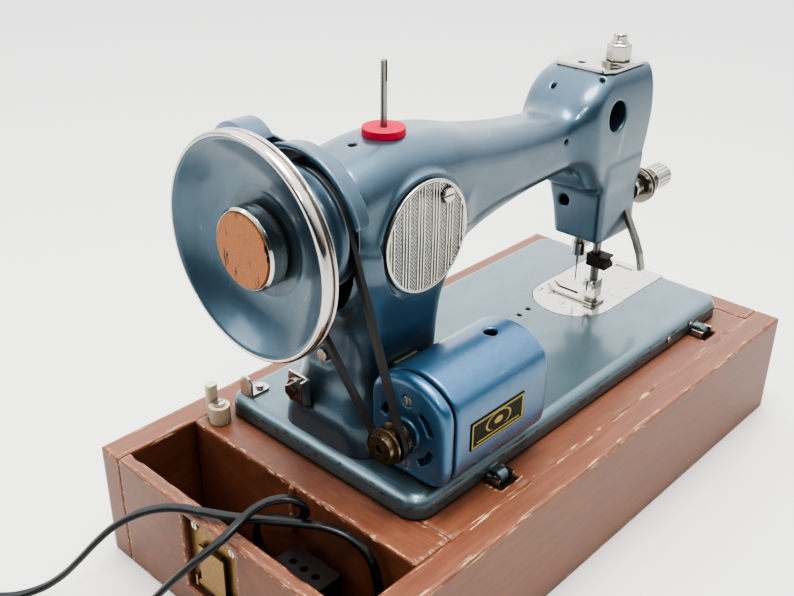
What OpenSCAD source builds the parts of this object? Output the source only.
// Electric sewing machine on its portable wooden base.
// Origin: centre of the base's underside. +X runs to the handwheel end, +Y to the rear, +Z up. Millimetres.

/* [Wooden base] */
// Length of the wooden base
base_l = 480; // [470:1:520]
// Width of the wooden base, front to rear
base_w = 244; // [236:1:280]
// Height of the wooden base
base_h = 85; // [80:1:110]
// Thickness of the front, rear and left boards
board_t = 20; // [14:1:20]
// Thickness of the end board beside the storage compartment
end_t = 9.5; // [9:0.5:14]
// Length of the storage compartment
store_l = 51; // [44:1:56]

/* [Bed] */
// Length of the cast bed
bed_l = 371; // [364:1:376]
// Width of the cast bed, front to rear
bed_w = 178; // [172:1:184]
// Thickness of the bed's rim
bed_t = 15; // [13:1:20]

/* [Arm and head] */
// Height of the arm shaft above the bed
shaft_h = 150; // [146:1:156]
// Distance from the needle bar to the presser bar
bar_gap = 17; // [16:0.5:19]
// Radius of the needle bar
needle_bar_r = 3.6; // [3:0.1:4]
// Radius of the arm shaft
shaft_r = 7; // [6:0.5:8]

/* [Handwheel and motor] */
// Outer radius of the handwheel's rim
wheel_r = 65.5; // [62:0.5:68]
// Radius at the bottom of the handwheel's belt groove
groove_r = 30; // [26:0.5:34]
// Radius at the bottom of the motor pulley's groove
pulley_r = 7; // [6:0.5:8]
// Length of the motor
motor_l = 98; // [90:1:104]
// Width of the motor
motor_w = 61; // [56:1:63]

/* [Leads] */
// Diameter of each lead
lead_d = 6.2; // [5:0.1:6.6]

/* [Hidden] */

// Colours
wood_c = [0.50, 0.27, 0.20];
blue_c = [0.40, 0.55, 0.66];
chrome_c = [0.80, 0.80, 0.82];
steel_c = [0.60, 0.60, 0.62];
brass_c = [0.70, 0.55, 0.33];
black_c = [0.08, 0.08, 0.09];

// Clearances
fit = 0.06;      // running fit of a pin or shaft, on the radius
gap = 0.4;       // between parts that pass each other

// Wooden base
base_x1 = base_l / 2;
base_y1 = base_w / 2;
floor_t = 8;
store_x1 = base_x1 - end_t;
store_x0 = store_x1 - store_l;
ledge = 6;                              // wood under the bed's edge
ledge_h = 22;
seat_z = base_h - 0.3;                  // top of the ledges, just under the bed

// Bed
bed_x0 = -base_x1 + 24.5;
bed_x1 = bed_x0 + bed_l;
bed_y0 = -base_y1 + 25;
bed_y1 = bed_y0 + bed_w;
bed_z0 = base_h;
bed_z = bed_z0 + bed_t;                 // top of the bed
bed_skin = 6;                           // thickness of the bed's top wall
corner_r = 14;

// Needle, presser and shaft lines
mid_y = bed_y0 + bed_w / 2 + 0;         // arm centre line
needle_x = bed_x0 + 82.5;
needle_y = mid_y;
presser_y = needle_y + bar_gap;
shaft_z = bed_z + shaft_h;

// Arm casting
face_x = needle_x - 29;                 // left end of the head
head_x1 = needle_x + 52;
block_x1 = needle_x + 18;               // right face of the head's lower block
block_z0 = bed_z + 58;
head_z0 = bed_z + 104;
head_top = bed_z + 191;
col_x0 = bed_x1 - 90;
col_x1 = bed_x1 - 8;                    // right end of the arm casting
wall = 5;
spool_x = bed_x1 - 61;
cover_r = 35.5;
cover_y = mid_y + 37;                   // plane of the inspection cover's seat
cover_z = bed_z + 136;

// Throat and slide plates
plate_r = 33;
plate_t = 2.4;
plate_y = needle_y + 3;
plate_end_x = needle_x + 4.5;           // centre of the plate's round end
plate_joint_x = needle_x - 20;

// Handwheel train
belt_x = col_x1 + 7;                    // plane of the belt
wheel_x1 = belt_x + 47;                 // front of the rim
hub_x0 = col_x1 + 0.5;
belt_w = 7;
winder_y = mid_y - 37;
winder_z = shaft_z + 37;
motor_x1 = col_x1 - 6.5;                // outer face of the motor's end cap
motor_x0 = motor_x1 - motor_l;
motor_y0 = mid_y + 35.5;
motor_y = motor_y0 + motor_w / 2;
motor_z0 = bed_z + 2;
motor_z = motor_z0 + 31.5;              // motor shaft
cap_t = 10;

// Tension, lifter and lever
tension_y = needle_y + 21;
tension_z = bed_z + 88;
lifter_x = face_x + 10;
lifter_y = presser_y + 4;
lifter_z = bed_z + 88;
lever_y = needle_y + 12;
lever_z = shaft_z + 14;

// Hook under the bed
hook_z = bed_z - 29;

// Hinges of the machine in the base
hinge_y = bed_y1 + 5;
hinge_z = bed_z0 + 1.5;
hinge_xs = [bed_x0 + 42, bed_x1 - 71];

// Storage latch and catch
latch_y = -10;
latch_z = base_h - 35;
catch_x = bed_x1 + 11.8;
catch_y = bed_y0 + 8;

// Leads. Points are [x from the base's right end, y, z above the table]; heights follow the height of the base.
lead_r = lead_d / 2;
mains_route = [
    [-43, 47, 22], [-43, 56, 22], [-44, 67, 20], [-47.5, 77, 22], [-51.5, 82.5, 32], [-53, 82, 46],
    [-53.5, 79, 62], [-53, 73, 77], [-49.5, 62, 87], [-43, 48, 91], [-35, 34, 90.5], [-27, 22, 90],
    [-18, 9, 90], [-10, -3, 90], [-2, -17, 90], [6, -30, 90], [14, -41, 87.5], [22, -52, 81],
    [30, -64, 70], [37, -75, 56], [44, -86, 40], [51, -98, 24], [60, -111, 11], [72, -125, 3],
    [86, -137, 3], [102, -146, 3], [119, -151, 3], [135, -152.8, 3], [150, -152.8, 3]
];
mains_coil_at = [150, -109];
mains_tail = [[193.8, -109, 3], [193.8, -98, 4.5], [193.8, -86, 8], [193.8, -76, 10]];
pedal_route = [
    [-43, 6.5, 30], [-43, -4, 30], [-43, -13, 34], [-43.5, -19, 43], [-44, -18, 54], [-44.5, -11, 63],
    [-44.5, 0, 70], [-44, 12, 76], [-43, 23, 83], [-41.5, 31, 92], [-38, 33, 102], [-32, 28, 107],
    [-25, 20, 105], [-17, 14, 100], [-8, 12, 95], [3, 12, 91], [13, 9, 85], [22, 2, 75], [30, -8, 61],
    [36, -18, 46], [42, -28, 31], [49, -39, 16], [59, -50, 6], [72, -58, 3], [88, -64, 3],
    [104, -66.6, 3], [120, -66.8, 3]
];
pedal_coil_at = [120, -23];
pedal_tail = [[163.8, -23, 3], [163.8, -12, 4.5], [163.8, 0, 7.5], [163.8, 9, 9]];
coil_r0 = 28;                           // inside of a coil's turns
coil_rows = 3;
lead_sides = 10;
ref = [0.8, 0.6, 0];                    // direction the leads never run along

// ---------- shared shapes ----------

module box(x, y, z) {
    translate([x[0], y[0], z[0]]) cube([x[1] - x[0], y[1] - y[0], z[1] - z[0]]);
}

module rod_x(x, r, y = mid_y, z = shaft_z) {
    translate([x[0], y, z]) rotate([0, 90, 0]) cylinder(h = x[1] - x[0], r = r, $fn = 64);
}

module rod_y(y, r, x, z) {
    translate([x, y[0], z]) rotate([-90, 0, 0]) cylinder(h = y[1] - y[0], r = r, $fn = 64);
}

module rod_z(z, r, x, y) {
    translate([x, y, z[0]]) cylinder(h = z[1] - z[0], r = r, $fn = 64);
}

// Upright block with round vertical corners
module pad(x, y, z, r) {
    box([x[0] + r, x[1] - r], y, z);
    box(x, [y[0] + r, y[1] - r], z);
    for (cx = [x[0] + r, x[1] - r], cy = [y[0] + r, y[1] - r]) {
        rod_z(z, r, cx, cy);
    }
}

// Thin upright section across X, with round corners, for a hull
module section(x, y, z, r) {
    for (cy = [y[0] + r, y[1] - r], cz = [z[0] + r, z[1] - r]) {
        translate([x, cy, cz]) rotate([0, 90, 0]) cylinder(h = 0.1, r = r, $fn = 32);
    }
}

// Thin level section with round corners, for a hull
module level(z, x, y, r) {
    for (cx = [x[0] + r, x[1] - r], cy = [y[0] + r, y[1] - r]) {
        translate([cx, cy, z]) cylinder(h = 0.1, r = r, $fn = 32);
    }
}

// Round part turned about the X axis: outline points are [distance along X, radius]
module turned(points, y = mid_y, z = shaft_z) {
    translate([0, y, z]) rotate([0, 90, 0]) rotate_extrude($fn = 96) polygon([for (p = points) [p[1], p[0]]]);
}

// Slotted screw head with its shank, standing along +Z
module screw(head_r, head_h, shank_r, shank_h) {
    difference() {
        cylinder(h = head_h, r = head_r, $fn = 32);
        translate([-head_r, -head_r * 0.12, head_h * 0.55]) cube([2 * head_r, head_r * 0.24, head_h]);
    }
    translate([0, 0, -shank_h]) cylinder(h = shank_h, r = shank_r, $fn = 24);
}

// ---------- leads ----------

// A route's point in the part's frame: level 3 lies on the surface that the base stands on
function place(p) = [base_x1 + p[0], p[1], p[2] == 3 ? lead_r + 0.1 : p[2] < 12 ? p[2] : p[2] * base_h / 85];
function placed(route) = [for (p = route) place(p)];
function along(pts, i) =
    let (a = pts[max(i - 1, 0)], b = pts[min(i + 1, len(pts) - 1)]) (b - a) / norm(b - a);
function ring(pts, i, r) =
    let (t = along(pts, i), s = cross(t, ref) / norm(cross(t, ref)), u = cross(s, t))
    [for (k = [0:lead_sides - 1]) pts[i] + r * (cos(360 * k / lead_sides) * s + sin(360 * k / lead_sides) * u)];

module tube(pts, r) {
    n = len(pts);
    m = lead_sides;
    polyhedron(
        points = [for (i = [0:n - 1]) each ring(pts, i, r)],
        faces = concat(
            [[for (k = [0:m - 1]) k]],
            [for (i = [0:n - 2], k = [0:m - 1])
                [i * m + k, (i + 1) * m + k, (i + 1) * m + (k + 1) % m, i * m + (k + 1) % m]],
            [[for (k = [m - 1:-1:0]) (n - 1) * m + k]]
        )
    );
}

module coil(at) {
    translate([base_x1 + at[0], at[1], 0]) rotate_extrude($fn = 64)
        translate([coil_r0, 0]) square([2 * lead_d, coil_rows * lead_d]);
}

// ---------- wooden base ----------

module base_front_board() {
    color(wood_c) {
        box([-base_x1, base_x1], [-base_y1, -base_y1 + board_t], [0, base_h]);
        box([-base_x1 + board_t, bed_x1 - ledge], [-base_y1 + board_t, bed_y0 + ledge], [base_h - ledge_h, seat_z]);
    }
}

module base_rear_board() {
    color(wood_c) difference() {
        union() {
            box([-base_x1, base_x1], [base_y1 - board_t, base_y1], [0, base_h]);
            box([-base_x1 + board_t, bed_x1 - ledge], [bed_y1 - ledge, base_y1 - board_t], [base_h - ledge_h, seat_z]);
        }
        for (x = hinge_xs) {
            box([x - 11, x + 11], [bed_y1 - 2, hinge_y + 9], [base_h - 9, base_h + 1]);
        }
    }
}

module base_left_board() {
    color(wood_c) {
        box([-base_x1, -base_x1 + board_t], [-base_y1 + board_t, base_y1 - board_t], [0, base_h]);
        box([-base_x1 + board_t, bed_x0 + ledge], [bed_y0 + ledge, bed_y1 - ledge], [base_h - ledge_h, seat_z]);
    }
}

module base_right_board() {
    color(wood_c) difference() {
        box([store_x1, base_x1], [-base_y1 + board_t, base_y1 - board_t], [0, base_h]);
        box([base_x1 - 6, base_x1 + 1], [latch_y - 25, latch_y + 25], [latch_z - 29, latch_z + 29]);
        for (y = [latch_y - 18, latch_y + 18]) {
            rod_x([base_x1 - 9, base_x1 - 5], 1.5, y, latch_z + 22);
        }
    }
}

// Board between the machine's well and the storage, with a groove strip for a divider
module base_partition() {
    color(wood_c) difference() {
        union() {
            box([bed_x1 - ledge, store_x0], [-base_y1 + board_t, base_y1 - board_t], [floor_t, base_h]);
            box([store_x0, store_x0 + 2.5], [-4, 0], [base_h - 37, base_h - 1]);
        }
        box([bed_x1 - ledge - 1, bed_x1 + gap], [bed_y0 - gap, bed_y1 + gap], [seat_z, base_h + 1]);
        rod_z([base_h - 10, base_h + 1], 2, catch_x, catch_y);
    }
}

module base_floor() {
    color(wood_c) {
        box([-base_x1 + board_t, store_x1], [-base_y1 + board_t, base_y1 - board_t], [0, floor_t]);
    }
}

// Sunk hinge leaves with their pins, the catch's pivot screw and the latch plate's screws
module base_hardware() {
    color(chrome_c) {
        for (x = hinge_xs) {
            box([x - 8, x + 8], [hinge_y - 5, hinge_y + 8], [base_h - 9, base_h - 7.5]);
            for (s = [-1, 1]) {
                box([x + s * 7 - 1, x + s * 7 + 1], [hinge_y - 4, hinge_y + 6], [base_h - 8, base_h + 4]);
            }
            rod_x([x - 8, x + 8], 2.5, hinge_y, hinge_z);
        }
        translate([catch_x, catch_y, base_h + 13.4]) screw(4, 2, 1.98, 23);
        for (y = [latch_y - 18, latch_y + 18]) {
            translate([base_x1 - 4.5, y, latch_z + 22]) rotate([0, 90, 0]) screw(2.8, 1.2, 1.5, 4);
        }
    }
}

// Latch for the lid: back plate with two lugs, and a hooked hasp that swings out on their pin
module latch_plate() {
    color(brass_c) {
        difference() {
            box([base_x1 - 6, base_x1 - 4.5], [latch_y - 23, latch_y + 23], [latch_z - 27, latch_z + 27]);
            for (y = [latch_y - 18, latch_y + 18]) {
                rod_x([base_x1 - 7, base_x1 - 4], 1.5, y, latch_z + 22);
            }
        }
        for (s = [-1, 1]) {
            box([base_x1 - 4.6, base_x1 - 0.5], [latch_y + s * 16 - 1, latch_y + s * 16 + 1],
                [latch_z - 22, latch_z - 14]);
        }
        rod_y([latch_y - 16, latch_y + 16], 1.2, base_x1 - 2.3, latch_z - 18);
    }
}

module latch_hasp() {
    color(brass_c) difference() {
        union() {
            box([base_x1 - 2.6, base_x1 - 1.2], [latch_y - 12, latch_y + 12], [latch_z - 18, latch_z + 12]);
            rod_y([latch_y - 14, latch_y + 14], 1.9, base_x1 - 2.3, latch_z - 18);
            box([base_x1 - 4, base_x1 - 1.2], [latch_y - 8, latch_y + 8], [latch_z + 10, latch_z + 12]);
        }
        rod_y([latch_y - 15, latch_y + 15], 1.2 + fit, base_x1 - 2.3, latch_z - 18);
    }
}

// Plastic turn button that holds the lid or the machine down
module turn_catch() {
    color([0.85, 0.78, 0.68]) difference() {
        union() {
            rod_z([base_h + 0.3, base_h + 13], 7.2, catch_x, catch_y);
            pad([catch_x - 4, catch_x + 4], [catch_y - 11, catch_y - 4.5], [base_h + 0.3, base_h + 26], 2.5);
        }
        rod_z([base_h - 1, base_h + 14], 2 + fit, catch_x, catch_y);
    }
}

// ---------- connector and leads ----------

module connector_block() {
    x = base_x1 - 43;
    color([0.20, 0.11, 0.09]) difference() {
        pad([x - 12, x + 12], [6.5, 47], [floor_t, floor_t + 38], 3);
        for (dy = [-10, 0, 10]) {
            rod_z([floor_t + 20, floor_t + 39], 2.6, x, 26.5 + dy);
        }
    }
}

module mains_lead() {
    color(black_c) {
        tube(placed(mains_route), lead_r);
        tube(placed(mains_tail), lead_r);
    }
}

module pedal_lead() {
    color(black_c) {
        tube(placed(pedal_route), lead_r);
        tube(placed(pedal_tail), lead_r);
    }
}

module mains_coil() {
    color(black_c) coil(mains_coil_at);
}

module pedal_coil() {
    color(black_c) coil(pedal_coil_at);
}

// Two-pin plug with a gripping waist, lying flat
module mains_plug() {
    x = base_x1 + mains_tail[3][0];
    y = mains_tail[3][1];
    color(black_c) {
        rod_y([y, y + 14], 4.5, x, 10);
        pad([x - 11, x + 11], [y + 14, y + 40], [1, 19], 4);
    }
    color(brass_c) for (s = [-1, 1]) {
        box([x + s * 6.3 - 0.8, x + s * 6.3 + 0.8], [y + 40, y + 57], [7, 13]);
    }
}

// Smaller two-hole connector for the foot control
module pedal_plug() {
    x = base_x1 + pedal_tail[3][0];
    y = pedal_tail[3][1];
    color(black_c) difference() {
        union() {
            rod_y([y, y + 12], 4.5, x, 9);
            pad([x - 9, x + 9], [y + 12, y + 36], [1, 17], 3);
        }
        for (s = [-1, 1]) {
            rod_y([y + 20, y + 37], 2, x + s * 4.5, 9);
        }
    }
}

// ---------- bed ----------

module plate_outline(y_gap) {
    r = plate_r - y_gap;
    translate([plate_end_x, plate_y]) circle(r = r, $fn = 96);
    translate([bed_x0 - 1, plate_y - r]) square([plate_end_x - bed_x0 + 1, 2 * r]);
}

// Outline of the bed's edge, measured from the edge inwards
function bed_edge(outer, sign) = [
    [outer - sign, bed_z0], [outer, bed_z0 + 4], [outer, bed_z - 5], [outer - 1.5 * sign, bed_z - 1.5], [outer - 5 * sign, bed_z]
];

module bed_block() {
    r = corner_r;
    for (x = [bed_x0 + r, bed_x1 - r], y = [bed_y0 + r, bed_y1 - r]) {
        translate([x, y, 0]) rotate_extrude($fn = 96) polygon(concat([[0, bed_z]], [[0, bed_z0]], bed_edge(r, 1)));
    }
    translate([bed_x0 + r, 0, 0]) rotate([90, 0, 90]) linear_extrude(bed_l - 2 * r)
        polygon(concat(bed_edge(bed_y1, 1), [for (i = [4:-1:0]) bed_edge(bed_y0, -1)[i]]));
    translate([0, bed_y1 - r, 0]) rotate([90, 0, 0]) linear_extrude(bed_w - 2 * r)
        polygon(concat(bed_edge(bed_x1, 1), [for (i = [4:-1:0]) bed_edge(bed_x0, -1)[i]]));
}

module bed_casting() {
    color(blue_c) difference() {
        union() {
            difference() {
                bed_block();
                pad([bed_x0 + 9, bed_x1 - 9], [bed_y0 + 9, bed_y1 - 9], [bed_z0 - 1, bed_z - bed_skin], corner_r);
            }
            for (x = [needle_x + 28, col_x0 - 12]) {
                box([x, x + 8], [mid_y - 9, mid_y + 9], [hook_z - 9, bed_z - bed_skin + 1]);
            }
            for (x = hinge_xs) {
                box([x - 4, x + 4], [bed_y1 - 4, hinge_y], [hinge_z - 1.4, hinge_z + 5]);
                rod_x([x - 4, x + 4], 5, hinge_y, hinge_z);
            }
        }
        translate([0, 0, bed_z - plate_t]) linear_extrude(plate_t + 1) plate_outline(0);
        box([needle_x - 66, needle_x + 10], [plate_y - 24, plate_y + 24], [bed_z0, bed_z]);
        box([col_x0 + 16, col_x1 - 10], [mid_y - 24, mid_y + 20], [bed_z0, bed_z + 1]);
        rod_x([needle_x + 20, bed_x1 - 40], 5 + fit, mid_y, hook_z);
        for (x = hinge_xs) {
            rod_x([x - 5, x + 5], 2.5 + fit, hinge_y, hinge_z);
        }
        for (p = [[needle_x + 12, needle_y - 24], [needle_x + 20, needle_y + 3]]) {
            rod_z([bed_z - bed_skin + 1, bed_z], 1.6, p[0], p[1]);
        }
        for (p = [[needle_x + 60, needle_y - 10], [needle_x + 47, needle_y - 11]]) {
            rod_z([bed_z - bed_skin - 1, bed_z + 1], 2, p[0], p[1]);
        }
    }
}

module throat_plate() {
    color(chrome_c) difference() {
        intersection() {
            translate([0, 0, bed_z - plate_t]) linear_extrude(plate_t) plate_outline(0.15);
            box([plate_joint_x, bed_x1], [bed_y0, bed_y1], [bed_z - 5, bed_z + 5]);
        }
        rod_z([bed_z - 5, bed_z + 1], 1.6, needle_x, needle_y);
        for (s = [-1, 1]) {
            box([needle_x + s * 5 - 2.4, needle_x + s * 5 + 2.4], [needle_y - 16, needle_y + 14], [bed_z - 5, bed_z + 1]);
        }
        for (p = [[needle_x + 12, needle_y - 24], [needle_x + 20, needle_y + 3]]) {
            rod_z([bed_z - 5, bed_z + 1], 1.6, p[0], p[1]);
            rod_z([bed_z - 1.2, bed_z + 1], 3.1, p[0], p[1]);
        }
    }
}

module slide_plate() {
    color(chrome_c) difference() {
        box([bed_x0 + 1.5, plate_joint_x - 0.3], [plate_y - plate_r + gap, plate_y + plate_r - gap],
            [bed_z - plate_t + 0.3, bed_z]);
        box([bed_x0 + 9, bed_x0 + 13], [plate_y - 8, plate_y + 8], [bed_z - 0.8, bed_z + 1]);
    }
}

// Two toothed bars on a carrier, under the plate's slots
module feed_dog() {
    teeth = 7;
    bar_l = 21;
    color(steel_c) {
        for (s = [-1, 1]) {
            difference() {
                box([needle_x + s * 5 - 1.8, needle_x + s * 5 + 1.8], [needle_y - 12, needle_y - 12 + bar_l],
                    [bed_z - 9, bed_z - 0.2]);
                for (i = [0:teeth - 1]) {
                    translate([needle_x + s * 5 - 3, needle_y - 10.5 + i * bar_l / teeth, bed_z])
                        rotate([45, 0, 0]) translate([0, -0.7, -0.7]) cube([6, 1.4, 1.4]);
                }
            }
        }
        difference() {
            box([needle_x - 7, needle_x + 7], [needle_y - 12, needle_y + 9], [bed_z - 12, bed_z - 8.9]);
            rod_z([bed_z - 13, bed_z - 8], 2.6, needle_x, needle_y);
        }
    }
}

// Hook with its bobbin cup on the lower shaft
module shuttle_hook() {
    color(steel_c) difference() {
        union() {
            rod_x([needle_x - 15, needle_x - 3], 15.5, mid_y, hook_z);
            rod_x([needle_x - 3.5, bed_x1 - 45], 5, mid_y, hook_z);
        }
        rod_x([needle_x - 16, needle_x - 7], 12, mid_y, hook_z);
    }
}

// ---------- arm and head ----------

module arm_body() {
    // Foot on the bed
    hull() {
        level(bed_z + 0.1, [col_x0 - 8, col_x1 + 2], [mid_y - 42, mid_y + 40], 20);
        level(bed_z + 5, [col_x0 - 8, col_x1 + 2], [mid_y - 42, mid_y + 40], 20);
        section(col_x0 - 2, [mid_y - 28, mid_y + 32], [bed_z + 20, bed_z + 34], 6);
        section(col_x1 + 1.5, [mid_y - 22, mid_y - 6], [bed_z + 30, bed_z + 45], 6);
        section(col_x1 + 1.5, [mid_y + 10, mid_y + 32], [bed_z + 15, bed_z + 27], 5);
    }
    // Column
    hull() {
        level(bed_z + 36, [col_x0 + 1, col_x1 - 7], [mid_y - 34, mid_y + 31], 16);
        level(bed_z + 120, [col_x0 - 5, col_x1 - 1], [mid_y - 34, mid_y + 34], 18);
    }
    // Shoulder and arm
    hull() {
        section(col_x1 - 0.1, [mid_y - 32, mid_y + 34], [bed_z + 105, bed_z + 185], 22);
        section(col_x0 + 10, [mid_y - 34, mid_y + 34], [bed_z + 100, bed_z + 190], 22);
        section(spool_x + 12, [mid_y - 34, mid_y + 34], [bed_z + 100, bed_z + 190.5], 22);
        section(needle_x + 46, [mid_y - 22, mid_y + 22], [bed_z + 123, bed_z + 167], 14);
    }
    // Head
    hull() {
        level(head_top - 0.1, [face_x + 2, needle_x + 27], [mid_y - 27, mid_y + 27], 9);
        level(head_top - 28, [face_x, needle_x + 54], [mid_y - 30, mid_y + 33], 18);
        level(head_z0, [face_x, needle_x + 38], [mid_y - 28, mid_y + 29], 12);
    }
    // Lower block over the needle
    hull() {
        level(block_z0, [face_x, block_x1], [mid_y - 14, mid_y + 28], 5);
        level(head_z0 + 8, [face_x, block_x1], [mid_y - 23, mid_y + 28], 5);
    }
    // Seat of the inspection cover
    rod_y([mid_y + 10, cover_y - 0.3], cover_r + 2.5, spool_x, cover_z);
}

module arm_hollow() {
    hull() {
        level(bed_z - 1, [col_x0 + 12, col_x1 - 14], [mid_y - 24, mid_y + 20], 10);
        level(bed_z + 178, [col_x0 + 10, col_x1 - 10], [mid_y - 24, mid_y + 22], 12);
    }
    box([needle_x + 20, col_x0 + 20], [mid_y - 13, mid_y + 13], [shaft_z - 13, shaft_z + 13]);
    box([face_x - 1, needle_x + 24], [mid_y - 17, mid_y + 25], [block_z0 + 46, head_top - 12]);
    box([face_x - 1, needle_x + 8], [mid_y - 9, presser_y + 7], [block_z0 + 10, block_z0 + 47]);
    rod_y([mid_y + 5, cover_y + 1], cover_r - 8, spool_x, cover_z);
}

module arm_casting() {
    color(blue_c) difference() {
        union() {
            difference() {
                arm_body();
                arm_hollow();
            }
            box([needle_x + 24.5, needle_x + 36], [mid_y - 14, mid_y + 14], [shaft_z - 14, shaft_z + 14]);
            box([col_x1 - 12, col_x1 - 3], [mid_y - 14, mid_y + 14], [shaft_z - 16, shaft_z + 16]);
            box([face_x + 4, needle_x + 9], [mid_y - 18, needle_y + 8], [head_z0 + 4, head_z0 + 14]);
            box([face_x + 4, face_x + 12], [lever_y + 2, mid_y + 26], [lever_z - 5, lever_z + 5]);
            box([lifter_x + 4.5, lifter_x + 9], [lifter_y - 6, mid_y + 25], [lifter_z - 6, lifter_z + 6]);
            rod_y([cover_y - 14, cover_y - 0.3], 5, spool_x - 15.5, cover_z + 22.6);
        }
        motor_slice([motor_x0 - 1, motor_x1 + 3], -0.4);
        rod_x([needle_x + 20, col_x1 + 1], shaft_r + 3);
        rod_z([block_z0 - 1, head_top - 10], needle_bar_r + fit, needle_x, needle_y);
        rod_z([block_z0 - 1, head_top + 1], 3.2 + fit, needle_x, presser_y);
        rod_z([head_top - 13, head_top + 1], 7.5 + gap, needle_x, presser_y);
        rod_z([bed_z + 177, head_top + 1], 2, spool_x, mid_y + 2);
        rod_z([bed_z + 170, head_top + 1], 2, col_x1 - 29.5, mid_y);
        rod_y([cover_y - 10, cover_y + 1], 2, spool_x - 15.5, cover_z + 22.6);
        rod_y([mid_y + 20, mid_y + 40], 11, needle_x + 18, shaft_z + 11);
        rod_x([block_x1 - 8, block_x1 + 1], 4.5, mid_y - 6, tension_z - 2);
        rod_x([lifter_x + 4, lifter_x + 10], 3 + fit, lifter_y, lifter_z);
        box([lifter_x - 4, lifter_x + 4.4], [lifter_y - 7, mid_y + 36], [lifter_z - 20, lifter_z + 10]);
        rod_y([lever_y + 1, lever_y + 13], 2.1 + fit, face_x + 8, lever_z);
        rod_y([mid_y - 36, mid_y - 22], 3 + fit, (col_x0 + col_x1) / 2, bed_z + 62);
        rod_x([col_x1 - 7.2, col_x1 + 1], 4.1, mid_y - 3, bed_z + 59);
        for (z = [head_top - 20, block_z0 + 6]) {
            rod_x([face_x - 1, face_x + 8], 1.5, mid_y - 9, z);
        }
    }
}

// Screws of the machine: plates, cover pivot, ball screw, guard bracket and thumb screw
module machine_screws() {
    color(chrome_c) {
        for (p = [[needle_x + 12, needle_y - 24], [needle_x + 20, needle_y + 3]]) {
            translate([p[0], p[1], bed_z - 1.2]) screw(3, 1.1, 1.6, 3.5);
        }
        translate([spool_x - 15.5, cover_y + 2.2, cover_z + 22.6]) rotate([-90, 0, 0]) screw(4.5, 2, 1.98, 10);
        rod_x([col_x1 - 7.1, col_x1 - 3.8], 4, mid_y - 3, bed_z + 59);
        for (x = [needle_x + 1.5, needle_x - 32]) {
            rod_y([bed_y1, bed_y1 + 1], 2.4, x, bed_z0 + 8);
        }
    }
}

module face_plate() {
    z0 = block_z0 + 2;
    color(chrome_c) difference() {
        hull() {
            section(face_x - 2.4, [mid_y - 13, mid_y + 25], [z0, head_z0], 6);
            section(face_x - 2.4, [mid_y - 22, mid_y + 24], [head_z0 - 4, head_top - 8], 8);
            section(face_x - 0.2, [mid_y - 13, mid_y + 25], [z0, head_z0], 6);
            section(face_x - 0.2, [mid_y - 22, mid_y + 24], [head_z0 - 4, head_top - 8], 8);
        }
        box([face_x - 3, face_x + 1], [lever_y - 4, lever_y + 4], [lever_z - 26, lever_z + 19]);
        rod_x([face_x - 3, face_x + 1], 5.5, tension_y, tension_z);
        for (z = [head_top - 20, block_z0 + 6]) {
            rod_x([face_x - 3, face_x + 1], 1.6, mid_y - 9, z);
        }
    }
}

// Plated top of the head with scalloped sides
module top_plate() {
    z = [head_top, head_top + 2.2];
    x1 = needle_x + 25;
    color(chrome_c) difference() {
        union() {
            pad([face_x + 2, x1], [mid_y - 24, mid_y + 27], z, 8);
            rod_z([z[1] - 0.2, z[1] + 2.5], 11.5, needle_x, presser_y);
        }
        rod_z([z[0] - 1, z[1] + 4], 7.5 + gap, needle_x, presser_y);
        for (y = [mid_y - 30, mid_y + 34]) {
            rod_z([z[0] - 1, z[1] + 4], 11, x1 + 1, y);
        }
        rod_z([z[0] - 1, z[1] + 4], 3, x1 - 9, mid_y - 3);
    }
}

module shaft_bushings() {
    color(steel_c) for (x = [[needle_x + 24.6, needle_x + 35.9], [col_x1 - 11.9, col_x1 - 0.5]]) {
        difference() {
            rod_x(x, shaft_r + 2.98);
            rod_x([x[0] - 1, x[1] + 1], shaft_r + fit);
        }
    }
}

module spool_pin() {
    color(steel_c) difference() {
        union() {
            rod_z([bed_z + 180, bed_z + 234], 1.98, spool_x, mid_y + 2);
        }
        box([spool_x - 0.5, spool_x + 0.5], [mid_y - 2, mid_y + 6], [bed_z + 222, bed_z + 235]);
    }
}

module spool_felt() {
    color([0.60, 0.16, 0.34]) difference() {
        rod_z([bed_z + 190.7, bed_z + 195], 13, spool_x, mid_y + 2);
        rod_z([bed_z + 189, bed_z + 196], 2.05, spool_x, mid_y + 2);
    }
}

module inspection_cover() {
    beads = 60;
    color(chrome_c) difference() {
        union() {
            rod_y([cover_y, cover_y + 1], cover_r, spool_x, cover_z);
            translate([spool_x, cover_y + 1, cover_z]) rotate([-90, 0, 0]) difference() {
                cylinder(h = 1.1, r = cover_r, $fn = 96);
                translate([0, 0, -1]) cylinder(h = 3, r = cover_r - 3.2, $fn = 96);
                for (i = [0:beads - 1]) {
                    rotate([0, 0, 360 * i / beads]) translate([cover_r - 4, -0.35, 0.5]) cube([5, 0.7, 1]);
                }
            }
        }
        rod_y([cover_y - 1, cover_y + 3], 2 + fit, spool_x - 15.5, cover_z + 22.6);
        rod_y([cover_y + 1, cover_y + 3], 5, spool_x - 15.5, cover_z + 22.6);
    }
}

// ---------- guard, winder and fittings at the wheel end ----------

// Curved guard over the belt, on a web that is screwed to the arm
module belt_guard() {
    color(blue_c) {
        translate([0, mid_y, shaft_z]) rotate([90, 0, 90])
            rotate_extrude(angle = 136, start = 12, $fn = 96) translate([46, belt_x - 4.5]) square([4, 18]);
        hull() {
            rod_x([col_x1 + 0.1, col_x1 + 2.2], 9, mid_y - 8, shaft_z + 33);
            rod_x([col_x1 + 0.1, col_x1 + 2.2], 9, mid_y - 34, shaft_z + 36);
        }
        box([col_x1 + 0.1, belt_x - 4], [mid_y - 12, mid_y - 2], [shaft_z + 40, shaft_z + 46.5]);
    }
}

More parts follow.
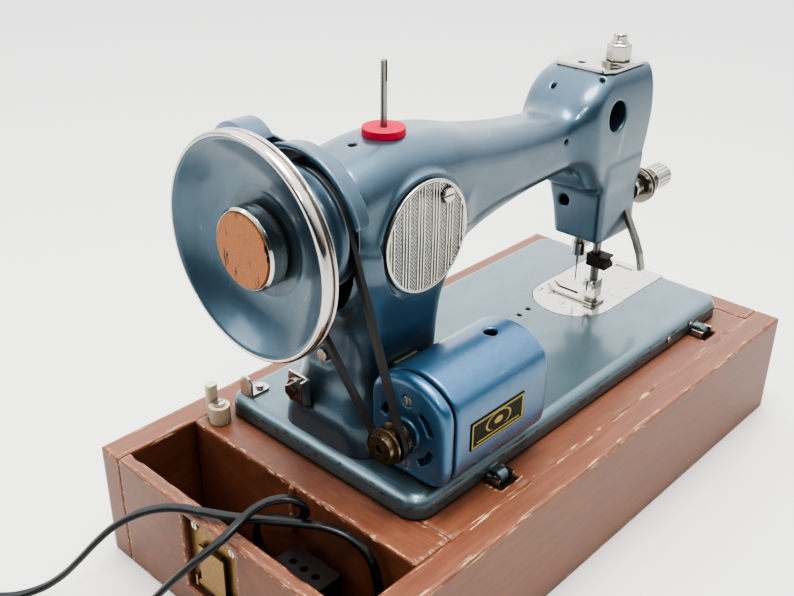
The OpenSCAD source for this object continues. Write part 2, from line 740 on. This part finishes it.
module winder_frame() {
    y = winder_y;
    z = winder_z;
    color(blue_c) difference() {
        union() {
            rod_x([belt_x + 4, belt_x + 20], 20, y, z);
            turned([[belt_x + 19.9, 0], [belt_x + 19.9, 19.9], [belt_x + 24, 16], [belt_x + 27, 0]], y, z);
            rod_x([col_x1 + 3.5, belt_x + 4.1], 7, y - 2, z + 6);
        }
        rod_x([col_x1, belt_x + 40], 3 + fit, y - 2, z + 6);
        rod_x([belt_x - 9, belt_x + 40], 53, mid_y, shaft_z);
    }
}

module winder_spindle() {
    color(steel_c) rod_x([col_x1 + 4, belt_x + 22], 3, winder_y - 2, winder_z + 6);
}

// Thread guide of the winder: a flat foot, a rivet and a rounded upright plate
module winder_tension() {
    x = bed_x1 - 15;
    y = bed_y0 + 15;
    color(chrome_c) {
        pad([x - 9, x + 9], [y - 5.5, y + 5.5], [bed_z, bed_z + 1.6], 4);
        rod_z([bed_z + 1.5, bed_z + 3.6], 2.8, x - 3, y);
        box([x + 7.4, x + 8.9], [y - 6, y + 6], [bed_z, bed_z + 9]);
        rod_x([x + 7.4, x + 8.9], 6, y, bed_z + 9);
    }
}

// Bent strip that carries the lead under the guard
module terminal_bracket() {
    color(chrome_c) {
        box([col_x1 + 2.1, col_x1 + 3.6], [mid_y - 27, mid_y - 8], [bed_z + 20, bed_z + 42]);
        box([col_x1 + 2.1, col_x1 + 9], [mid_y - 9.5, mid_y - 8], [bed_z + 24, bed_z + 42]);
        rod_x([col_x1 + 3.5, col_x1 + 5], 7, mid_y - 20, bed_z + 31);
        translate([col_x1 + 4.9, mid_y - 20, bed_z + 31]) rotate([0, 90, 0]) cylinder(h = 4, r = 5, $fn = 6);
    }
}

// ---------- handwheel train ----------

module arm_shaft() {
    color(steel_c) {
        rod_x([needle_x + 17, wheel_x1 - 14.6], shaft_r);
        difference() {
            rod_x([needle_x + 13.5, needle_x + 24], 12);
            box([needle_x + 13, needle_x + 18], [mid_y - 13, mid_y + 13], [shaft_z - 13, shaft_z - 5]);
        }
    }
}

module handwheel() {
    b0 = belt_x - belt_w / 2;
    b1 = belt_x + belt_w / 2;
    color(blue_c) turned([
        [hub_x0, shaft_r + fit], [hub_x0, 20], [hub_x0 + 2, 20], [hub_x0 + 2.2, groove_r + 8], [b0, groove_r + 8],
        [b0 + 1.4, groove_r], [b1 - 1.4, groove_r], [b1, groove_r + 8], [b1 + 2, groove_r + 9],
        [b1 + 5, groove_r + 8], [b1 + 8, groove_r + 2], [b1 + 16, groove_r + 4], [b1 + 26, groove_r + 14],
        [wheel_x1 - 10.5, wheel_r - 5], [wheel_x1 - 9.5, wheel_r - 3], [wheel_x1, wheel_r - 3],
        [wheel_x1 - 2, wheel_r - 6], [wheel_x1 - 8, wheel_r - 14], [wheel_x1 - 14, wheel_r - 26],
        [wheel_x1 - 16, wheel_r - 34], [wheel_x1 - 15.4, 25.5], [wheel_x1 - 15, shaft_r + fit]
    ]);
}

// Two plated beads round the rim
module wheel_rim() {
    color(chrome_c) turned([
        [wheel_x1 - 9.9, wheel_r - 2.95], [wheel_x1 - 9.6, wheel_r - 0.8], [wheel_x1 - 7.6, wheel_r],
        [wheel_x1 - 5.6, wheel_r - 0.8], [wheel_x1 - 5, wheel_r - 1.6], [wheel_x1 - 4.4, wheel_r - 0.8],
        [wheel_x1 - 2.4, wheel_r], [wheel_x1 - 0.4, wheel_r - 0.8], [wheel_x1, wheel_r - 2.95]
    ]);
}

module clutch_knob() {
    color(chrome_c) turned([
        [wheel_x1 - 14, 2.6], [wheel_x1 - 14, 22], [wheel_x1 - 11, 24], [wheel_x1 - 2, 24],
        [wheel_x1 - 0.5, 22.5], [wheel_x1 - 1, 21.5], [wheel_x1 - 1, 2.6]
    ]);
}

module clutch_face() {
    color([0.50, 0.33, 0.22]) {
        rod_x([wheel_x1 - 0.95, wheel_x1 + 0.4], 21.3);
        rod_x([wheel_x1 - 7.8, wheel_x1 - 0.9], 2.58);
    }
}

// V-belt round the wheel's groove and the motor pulley
module drive_belt() {
    thick = 4.2;
    width = belt_w - 3.4;
    dy = motor_y - mid_y;
    dz = shaft_z - motor_z;
    color(black_c) translate([belt_x - width / 2, mid_y, shaft_z]) rotate([90, 0, 90])
        rotate([0, 0, atan2(-dz, dy)]) linear_extrude(width) difference() {
            belt_shape(groove_r + 1.2 + thick, pulley_r + 1.2 + thick, norm([dy, dz]));
            belt_shape(groove_r + 1.2, pulley_r + 1.2, norm([dy, dz]));
        }
}

module belt_shape(big, small, span) {
    hull() {
        circle(r = big, $fn = 96);
        translate([span, 0]) circle(r = small, $fn = 48);
    }
}

// ---------- motor ----------

// Motor section: upright sides with rounded top and bottom, seen along the shaft
module motor_outline(inset) {
    w = motor_w / 2 - inset;
    h = 38 - inset;
    intersection() {
        circle(r = h, $fn = 96);
        translate([-h, -w]) square([h + motor_z - motor_z0 - inset, 2 * w]);
    }
}

module motor_slice(x, inset) {
    translate([x[0], motor_y, motor_z]) rotate([0, 90, 0]) linear_extrude(x[1] - x[0]) motor_outline(inset);
}

module motor_housing() {
    color(blue_c) difference() {
        union() {
            motor_slice([motor_x0, motor_x1 - cap_t - 0.4], 0);
        }
        motor_slice([motor_x0 + 4, motor_x1], 4);
        rod_x([motor_x0 - 1, motor_x0 + 5], 3 + fit, motor_y, motor_z);
        rod_z([motor_z + 20, motor_z + 45], 2.2, motor_x0 + 22, motor_y);
    }
}

module motor_end_cap() {
    color(blue_c) difference() {
        union() {
            motor_slice([motor_x1 - cap_t, motor_x1 - 3], 0);
            motor_slice([motor_x1 - 3.1, motor_x1], 3);
            rod_x([motor_x1 - 0.1, motor_x1 + 1.5], 10, motor_y, motor_z);
        }
        rod_x([motor_x1 - cap_t - 1, motor_x1 + 3], 3 + fit, motor_y, motor_z);
        translate([motor_x1 - 6, motor_y, motor_z]) rotate([90, 0, 90]) for (a = [-35, 145]) {
            rotate_extrude(angle = 70, start = a, $fn = 96) translate([18, 0]) square([2.6, 8]);
        }
        for (s = [-1, 1]) {
            rod_x([motor_x1 - 5, motor_x1 + 1], 3.4, motor_y, motor_z + s * 22);
        }
    }
    color(chrome_c) for (s = [-1, 1]) {
        translate([motor_x1 - 2.4, motor_y, motor_z + s * 22]) rotate([0, 90, 0]) screw(3.2, 2, 1.5, 2);
    }
}

module motor_rotor() {
    color(steel_c) {
        rod_x([motor_x0 + 1, belt_x + 7], 3, motor_y, motor_z);
        rod_x([motor_x0 + 18, motor_x1 - 32], 19, motor_y, motor_z);
        rod_x([motor_x1 - 30, motor_x1 - 16], 9, motor_y, motor_z);
    }
}

module motor_pulley() {
    b0 = belt_x - belt_w / 2;
    b1 = belt_x + belt_w / 2;
    color(brass_c) turned([
        [b0 - 3, 3.02], [b0 - 3, pulley_r + 4.5], [b0, pulley_r + 4.5], [b0 + 1.4, pulley_r],
        [b1 - 1.4, pulley_r], [b1, pulley_r + 4.5], [b1 + 1.5, pulley_r + 4.5], [b1 + 1.5, pulley_r + 2],
        [b1 + 6, pulley_r + 2], [b1 + 6, 3.02]
    ], motor_y, motor_z);
}

module motor_bracket() {
    color(steel_c) {
        box([col_x1 - 50, col_x1 - 30], [mid_y + 33, motor_y0 - 0.5], [bed_z + 42, bed_z + 58]);
        box([col_x1 - 46, col_x1 - 34], [motor_y0 - 0.5, motor_y0 - 0.05], [bed_z + 44, bed_z + 56]);
    }
}

module nameplate() {
    x0 = motor_x0 + 25;
    y1 = motor_y0 + motor_w;
    color(brass_c) box([x0, x0 + 51], [y1 + 0.02, y1 + 0.8], [motor_z - 9.5, motor_z + 9.5]);
    color(black_c) for (z = [-7.5, 1]) {
        box([x0 + 2, x0 + 49], [y1 + 0.8, y1 + 1], [motor_z + z, motor_z + z + 6.5]);
    }
}

// ---------- needle, presser and thread parts ----------

module needle_bar() {
    color(steel_c) rod_z([block_z0 - 20, head_top - 12], needle_bar_r, needle_x, needle_y);
}

module needle_clamp() {
    z = block_z0 - 20;
    color(chrome_c) {
        difference() {
            rod_z([z - 1, z + 9], 5.6, needle_x, needle_y);
            rod_z([z, z + 10], needle_bar_r + 0.02, needle_x, needle_y);
            rod_z([z - 2, z + 1], 1.05, needle_x, needle_y);
        }
        rod_x([needle_x - 13, needle_x - 5.4], 2.6, needle_y, z + 4);
    }
}

module needle() {
    z = block_z0 - 21;
    color(chrome_c) {
        rod_z([z - 8, z + 1], 1, needle_x, needle_y);
        rod_z([z - 22, z - 7.9], 0.5, needle_x, needle_y);
        translate([needle_x, needle_y, z - 25]) cylinder(h = 3.1, r1 = 0.1, r2 = 0.5, $fn = 24);
    }
}

module presser_bar() {
    color(steel_c) {
        rod_z([bed_z + 12, head_top - 14], 3.2, needle_x, presser_y);
        rod_z([block_z0 + 36, block_z0 + 46], 5, needle_x, presser_y);
    }
}

// Hinged foot: shank, bridge and two toes that curl up in front
module presser_foot() {
    z = bed_z + 0.2;
    color(chrome_c) {
        difference() {
            box([needle_x - 5, needle_x + 5], [presser_y - 5, presser_y + 5], [z + 5, z + 20]);
            rod_z([z + 11.8, z + 21], 3.22, needle_x, presser_y);
        }
        difference() {
            union() {
                pad([needle_x - 8, needle_x + 8], [needle_y - 16, presser_y + 8], [z, z + 2], 3);
                box([needle_x - 3, needle_x + 3], [presser_y - 5, presser_y + 3], [z + 1.9, z + 5.1]);
            }
            box([needle_x - 1.6, needle_x + 1.6], [needle_y - 17, needle_y + 4], [z - 1, z + 3]);
        }
        for (s = [-1, 1]) {
            translate([needle_x + s * 4.6 - 3.2, needle_y - 15, z + 0.2]) rotate([-32, 0, 0])
                translate([0, -7, 0]) cube([6.4, 7.2, 1.8]);
        }
        translate([needle_x + 4.9, presser_y, z + 16]) rotate([0, 90, 0]) screw(4.5, 4, 1.2, 1);
    }
}

module thread_cutter() {
    z = bed_z + 33;
    color(black_c) difference() {
        union() {
            box([needle_x - 6, needle_x + 6], [presser_y - 5, presser_y + 12], [z, z + 10]);
        }
        rod_z([z - 1, z + 11], 3.22, needle_x, presser_y);
        translate([needle_x - 7, presser_y + 12, z + 3]) rotate([45, 0, 0]) cube([14, 4, 4]);
    }
}

// Coil spring round the presser bar, drawn as its sleeve of turns
module presser_spring() {
    z0 = block_z0 + 46.2;
    z1 = head_top - 4.2;
    turns = 14;
    step = (z1 - z0) / turns;
    color(steel_c) for (i = [0:turns - 1]) {
        translate([needle_x, presser_y, z0 + (i + 0.5) * step]) rotate_extrude($fn = 32)
            translate([4.6, 0]) square([1.3, step + 0.02], center = true);
    }
}

// Lever on a pin across the head, curving down behind it
module presser_lifter() {
    bend = [[0, 0], [9, -17], [18, -33], [23, -44], [26, -56]];
    color(chrome_c) {
        rod_x([lifter_x - 3, lifter_x + 3.1], 6, lifter_y, lifter_z);
        rod_x([lifter_x + 3, lifter_x + 9], 3, lifter_y, lifter_z);
        for (i = [0:len(bend) - 2]) {
            a = bend[i];
            b = bend[i + 1];
            translate([lifter_x - 3, lifter_y + a[0], lifter_z + a[1]])
                rotate([atan2(b[1] - a[1], b[0] - a[0]), 0, 0]) translate([0, -0.6, -1.6])
                    cube([6, norm(b - a) + 1.2, 3.2]);
        }
    }
}

// Knurled nut over the spring
module pressure_nut() {
    z = head_top + 5.1;
    ribs = 24;
    color(chrome_c) {
        rod_z([head_top - 4, z + 0.2], 7.4, needle_x, presser_y);
        difference() {
            rod_z([z, z + 19], 9, needle_x, presser_y);
            for (i = [0:ribs - 1]) {
                translate([needle_x, presser_y, z + 2]) rotate([0, 0, 360 * i / ribs])
                    translate([8.5, -0.4, 0]) cube([1, 0.8, 15]);
            }
        }
    }
}

module take_up_lever() {
    color(chrome_c) {
        rod_y([lever_y - 1.4, lever_y + 12], 2.1, face_x + 8, lever_z);
        hull() {
            rod_y([lever_y - 1.5, lever_y + 1.5], 3.4, face_x + 8, lever_z);
            rod_y([lever_y - 1, lever_y + 1], 2, face_x - 14, lever_z + 14);
        }
        translate([face_x - 16, lever_y, lever_z + 16]) rotate([90, 0, 0])
            rotate_extrude($fn = 48) translate([1.6, -1]) square([2, 2]);
    }
}

module tension_discs() {
    x = face_x - 2.5;
    color(chrome_c) {
        rod_x([x - 44, face_x + 2], 2.6, tension_y, tension_z);
        rod_x([x - 9, x - 0.1], 8, tension_y, tension_z);
        for (s = [0, 1]) {
            turned([[x - 16 + 3 * s, 2.5], [x - 16 + 3 * s, 9], [x - 15.3 + 3 * s - 1.4 * (1 - s), 14],
                [x - 14.7 + 3 * s - 1.4 * (1 - s), 14], [x - 15.2 + 3 * s, 9], [x - 15.2 + 3 * s, 2.5]],
                tension_y, tension_z);
        }
        turned([[x - 27, 2.5], [x - 27, 5], [x - 17, 7], [x - 17, 2.5]], tension_y, tension_z);
    }
}

module tension_knob() {
    x = face_x - 2.5;
    ribs = 20;
    color(chrome_c) difference() {
        rod_x([x - 48, x - 28], 10, tension_y, tension_z);
        rod_x([x - 45, x - 27], 2.6 + fit, tension_y, tension_z);
        for (i = [0:ribs - 1]) {
            translate([x - 46, tension_y, tension_z]) rotate([360 * i / ribs, 0, 0])
                translate([0, 9.4, -0.5]) cube([16, 1, 1]);
        }
    }
}

// Lever for the stitch length on the front of the column
module stitch_lever() {
    x = (col_x0 + col_x1) / 2;
    y0 = mid_y - 33.9;
    z = bed_z + 62;
    color(chrome_c) {
        rod_y([y0 - 3, y0 - 0.5], 12, x, z);
        box([x - 3, x + 3], [y0 - 6, y0 - 2.9], [z - 8, z + 16]);
        rod_y([y0 - 14, y0 - 5.9], 5, x, z + 13);
        rod_y([y0 - 0.6, y0 + 6], 3, x, z);
    }
}

base_front_board();
base_rear_board();
base_left_board();
base_right_board();
base_partition();
base_floor();
base_hardware();
latch_plate();
latch_hasp();
turn_catch();
stitch_lever();
connector_block();
mains_lead();
mains_coil();
mains_plug();
pedal_lead();
pedal_coil();
pedal_plug();
bed_casting();
arm_casting();
throat_plate();
slide_plate();
feed_dog();
machine_screws();
face_plate();
top_plate();
shaft_bushings();
spool_pin();
spool_felt();
belt_guard();
terminal_bracket();
winder_tension();
winder_frame();
winder_spindle();
inspection_cover();
arm_shaft();
handwheel();
wheel_rim();
clutch_knob();
clutch_face();
drive_belt();
motor_housing();
motor_end_cap();
motor_rotor();
motor_pulley();
motor_bracket();
nameplate();
needle_bar();
needle_clamp();
needle();
presser_bar();
presser_foot();
thread_cutter();
presser_spring();
presser_lifter();
pressure_nut();
take_up_lever();
tension_discs();
tension_knob();
shuttle_hook();
